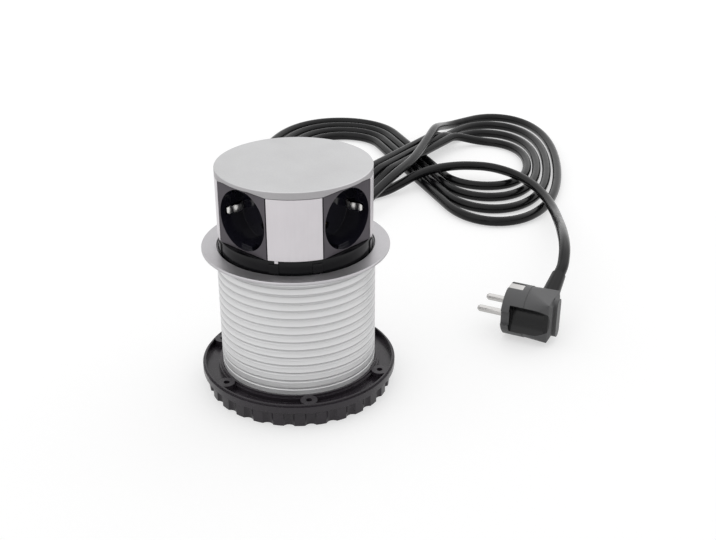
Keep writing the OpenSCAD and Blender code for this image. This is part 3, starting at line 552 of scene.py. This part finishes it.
def make_inner_lead():
    """Flexible lead in two slack turns from the cord clamp up to the deck."""
    start_z, top_z = FLOOR_TOP + INNER_D / 2 + LEAD_LIFT, DECK_Z - END_GAP
    coil_z = top_z - LEAD_COIL_END
    out = heading(EXIT_ANGLE)
    steps = INNER_TURNS * LEAD_POINTS
    mouth = (GLAND_FROM - END_GAP) * out + Vector((0, 0, start_z))
    points = [mouth, mouth - INNER_D / 2 * out]
    for i in range(2, steps + 1):
        around = LEAD_R * heading(EXIT_ANGLE + 360 * i / LEAD_POINTS)
        points.append(around + Vector((0, 0, start_z + (coil_z - start_z) * i / steps)))
    points += [LEAD_R * out + Vector((0, 0, z)) for z in (top_z - LEAD_BEND_END, top_z)]
    path = [p * MM for p in curve_through(points, 5)]
    mesh = tube_mesh("inner_lead_sheath", path, INNER_D / 2 * MM, LEAD_SIDES)
    piece = add_piece("inner_lead_sheath", mesh, "housing")
    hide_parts("inner_lead")
    paint(piece, "cord")
    follow_head(piece)


make_spring()
make_inner_lead()


# Earth clips in the recesses, formed and crowned
CLIP_W, CLIP_T, CLIP_ARM, CLIP_BACK = 4.6, 0.9, 18.9, 22.95
CLIP_CROWN, CLIP_TIP_SHARE, CLIP_ACROSS = 0.5, 0.62, 6
SOCKET_Z, RECESS_FLOOR = 124.95, 26
CLIP_ANGLES = {"clip_front": -90, "clip_right": 0, "clip_back": 90, "clip_left": 180}
# Rows from the tip of a finger: its taper, the middle of its crown and how far the crown reaches
TAPER_ROWS, CROWN_ROW, CROWN_REACH = 4, 13, 11
CREASE_ANGLE = 40


def clip_path():
    """Middle line of a clip seen from above, from one finger round the back to the other."""
    finger = curve_through([(FACE_R - 5, CLIP_ARM - 0.2, 0), (FACE_R - 6.6, CLIP_ARM - 1.1, 0),
                            (FACE_R - 9, CLIP_ARM - 1.3, 0), (RECESS_FLOOR + 5, CLIP_ARM - 2.9, 0),
                            (RECESS_FLOOR + 1.6, CLIP_ARM - 1.4, 0), (RECESS_FLOOR - 0.6, CLIP_ARM, 0)], 5)
    half = finger + [Vector((CLIP_BACK + 1, CLIP_ARM, 0)), Vector((CLIP_BACK, CLIP_ARM - 1, 0))]
    return half + [Vector((q.x, -q.y, 0)) for q in reversed(half)]


def make_clip(name, angle):
    """Sprung strip with a crowned finger, narrower at its tip, on each side of a recess."""
    path = clip_path()
    mesh = bpy.data.meshes.new(name)
    bm = bmesh.new()
    rows = []
    for i, q in enumerate(path):
        ahead = (path[min(i + 1, len(path) - 1)] - path[max(i - 1, 0)]).normalized()
        side = Vector((-ahead.y, ahead.x, 0))
        from_tip = min(i, len(path) - 1 - i)
        width = CLIP_W * (CLIP_TIP_SHARE + (1 - CLIP_TIP_SHARE) * min(from_tip / TAPER_ROWS, 1))
        crown = CLIP_CROWN * max(0, 1 - abs(from_tip - CROWN_ROW) / CROWN_REACH)
        inward = -1 if q.y > 0 else 1
        row = []
        for face in (-0.5, 0.5):
            for k in range(CLIP_ACROSS + 1):
                u = 2 * k / CLIP_ACROSS - 1
                bulge = Vector((0, inward * crown * (1 - u * u), SOCKET_Z + u * width / 2))
                row.append(bm.verts.new(turned(q + face * CLIP_T * side + bulge, angle) * MM))
        rows.append(row[:CLIP_ACROSS + 1] + row[:CLIP_ACROSS:-1])
    ring = len(rows[0])
    for a, b in zip(rows, rows[1:]):
        for k in range(ring):
            bm.faces.new((a[k], a[(k + 1) % ring], b[(k + 1) % ring], b[k])).smooth = True
    bm.faces.new(rows[0])
    bm.faces.new(list(reversed(rows[-1])))
    bmesh.ops.recalc_face_normals(bm, faces=bm.faces)
    for edge in bm.edges:
        edge.smooth = edge.calc_face_angle(0) < math.radians(CREASE_ANGLE)
    bm.to_mesh(mesh)
    bm.free()
    piece = add_piece(name + "_spring", mesh, "head")
    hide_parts(name)
    paint(piece, "clip")


for name, angle in CLIP_ANGLES.items():
    make_clip(name, angle)


# Floor, world and lamps; the floor's lengths are in metres
WORLD_LIGHT = 0.72
FLOOR_HALF, FLOOR_DROP, FLOOR_TONE = 6.0, 0.0002, 0.5
GLOW_NEAR, GLOW_FAR, GLOW_FROM, GLOW_TO = 0.54, 0.78, 0.5, 1.6


def light_path_mix(tree, for_eye, for_light):
    """Shader that shows one side to the camera and to reflections, and the other to diffuse light."""
    path = tree.nodes.new("ShaderNodeLightPath").outputs
    seen = math_node(tree, "MAXIMUM", path["Is Camera Ray"], path["Is Glossy Ray"])
    seen = math_node(tree, "MAXIMUM", seen, path["Is Transmission Ray"])
    mix = tree.nodes.new("ShaderNodeMixShader")
    tree.links.new(seen, mix.inputs[0])
    tree.links.new(for_light, mix.inputs[1])
    tree.links.new(for_eye, mix.inputs[2])
    return mix.outputs[0]


def make_world():
    """White studio behind the object, with softer light on it."""
    world = bpy.data.worlds.new("studio")
    world.use_nodes = True
    tree = world.node_tree
    tree.nodes.clear()
    sides = []
    for strength in (1.0, WORLD_LIGHT):
        side = tree.nodes.new("ShaderNodeBackground")
        side.inputs["Color"].default_value = (1, 1, 1, 1)
        side.inputs["Strength"].default_value = strength
        sides.append(side.outputs[0])
    out = tree.nodes.new("ShaderNodeOutputWorld")
    tree.links.new(light_path_mix(tree, *sides), out.inputs["Surface"])
    scene.world = world


def make_floor():
    """Pale floor that keeps the object's shadow and is white away from it."""
    mesh = bpy.data.meshes.new("studio_floor")
    corners = [(x * FLOOR_HALF, y * FLOOR_HALF, 0) for x, y in ((-1, -1), (1, -1), (1, 1), (-1, 1))]
    mesh.from_pydata(corners, [], [(0, 1, 2, 3)])
    floor = bpy.data.objects.new("studio_floor", mesh)
    scene.collection.objects.link(floor)
    floor.location.z = -FLOOR_DROP
    mat, tree, bsdf = shader("studio_floor", (FLOOR_TONE,) * 3, 0.9, specular=0.1)
    away = tree.nodes.new("ShaderNodeVectorMath")
    away.operation = "LENGTH"
    tree.links.new(coords(tree), away.inputs[0])
    glow = tree.nodes.new("ShaderNodeEmission")
    strength = spread(tree, away.outputs["Value"], GLOW_NEAR, GLOW_FAR, GLOW_FROM, GLOW_TO)
    tree.links.new(strength, glow.inputs["Strength"])
    dark = tree.nodes.new("ShaderNodeEmission")
    dark.inputs["Strength"].default_value = 0.0
    add = tree.nodes.new("ShaderNodeAddShader")
    tree.links.new(bsdf.outputs[0], add.inputs[0])
    tree.links.new(light_path_mix(tree, glow.outputs[0], dark.outputs[0]), add.inputs[1])
    tree.links.new(add.outputs[0], tree.nodes["Material Output"].inputs["Surface"])
    mesh.materials.append(mat)


def add_lamp(name, place, target, size, power):
    """Soft square lamp that looks at a point: both in mm in the picture's own frame, size in metres."""
    data = bpy.data.lights.new(name, "AREA")
    data.shape = "SQUARE"
    data.size = size
    data.energy = power
    lamp = bpy.data.objects.new(name, data)
    scene.collection.objects.link(lamp)
    lamp.location = laid(place) * MM
    lamp.rotation_euler = (laid(target) * MM - lamp.location).to_track_quat("-Z", "Y").to_euler()


make_world()
make_floor()
add_lamp("key_lamp", (560, 640, 1150), (60, 150, 40), 1.5, 3.6)
add_lamp("fill_lamp", (-640, -370, 1350), (60, 120, 40), 1.8, 4.5)
